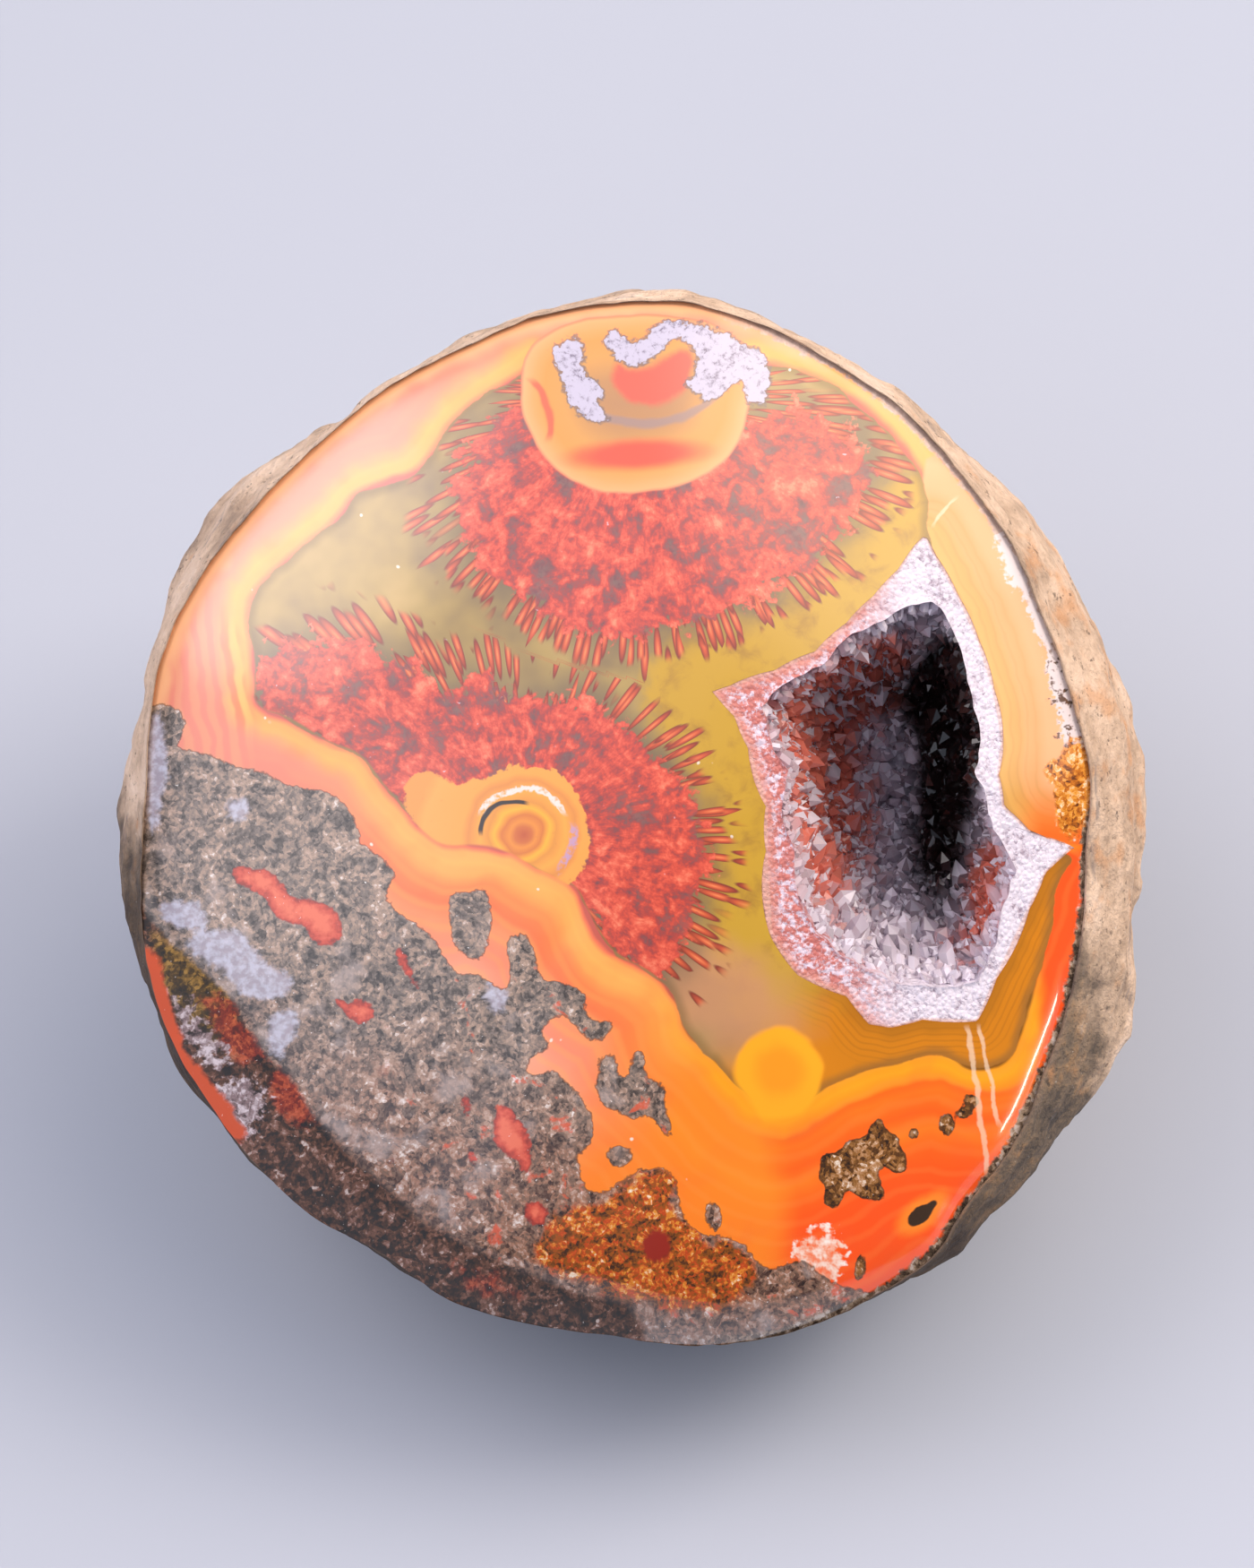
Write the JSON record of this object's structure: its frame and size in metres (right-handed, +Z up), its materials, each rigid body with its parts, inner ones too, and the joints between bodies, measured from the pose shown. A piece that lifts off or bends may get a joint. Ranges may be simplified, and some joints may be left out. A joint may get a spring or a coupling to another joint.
{
  "type": "agate geode",
  "caption": "Rounded agate nodule with one polished domed face, rough rind behind it, and a quartz-lined hollow opening through the face.",
  "frame": {"origin": "on the surface it rests on, below the centre of its bounding box", "axes": "+Z up as it lies; -Y is the front, which the polished face leans towards; +X is to the right of a viewer in front"},
  "size_m": [0.0995, 0.096, 0.0743],
  "materials": {
    "agate": "domed face ground and polished to a gloss, orange and olive banded agate with red plumes; rough tan and brown rind on the sides and back",
    "quartz": "glassy white, lilac and rusty red quartz crystals, cut edge polished flush with the face"
  },
  "bodies": {
    "root": {"agate_nodule": "agate", "quartz_druse": "quartz"}
  },
  "joints": []
}
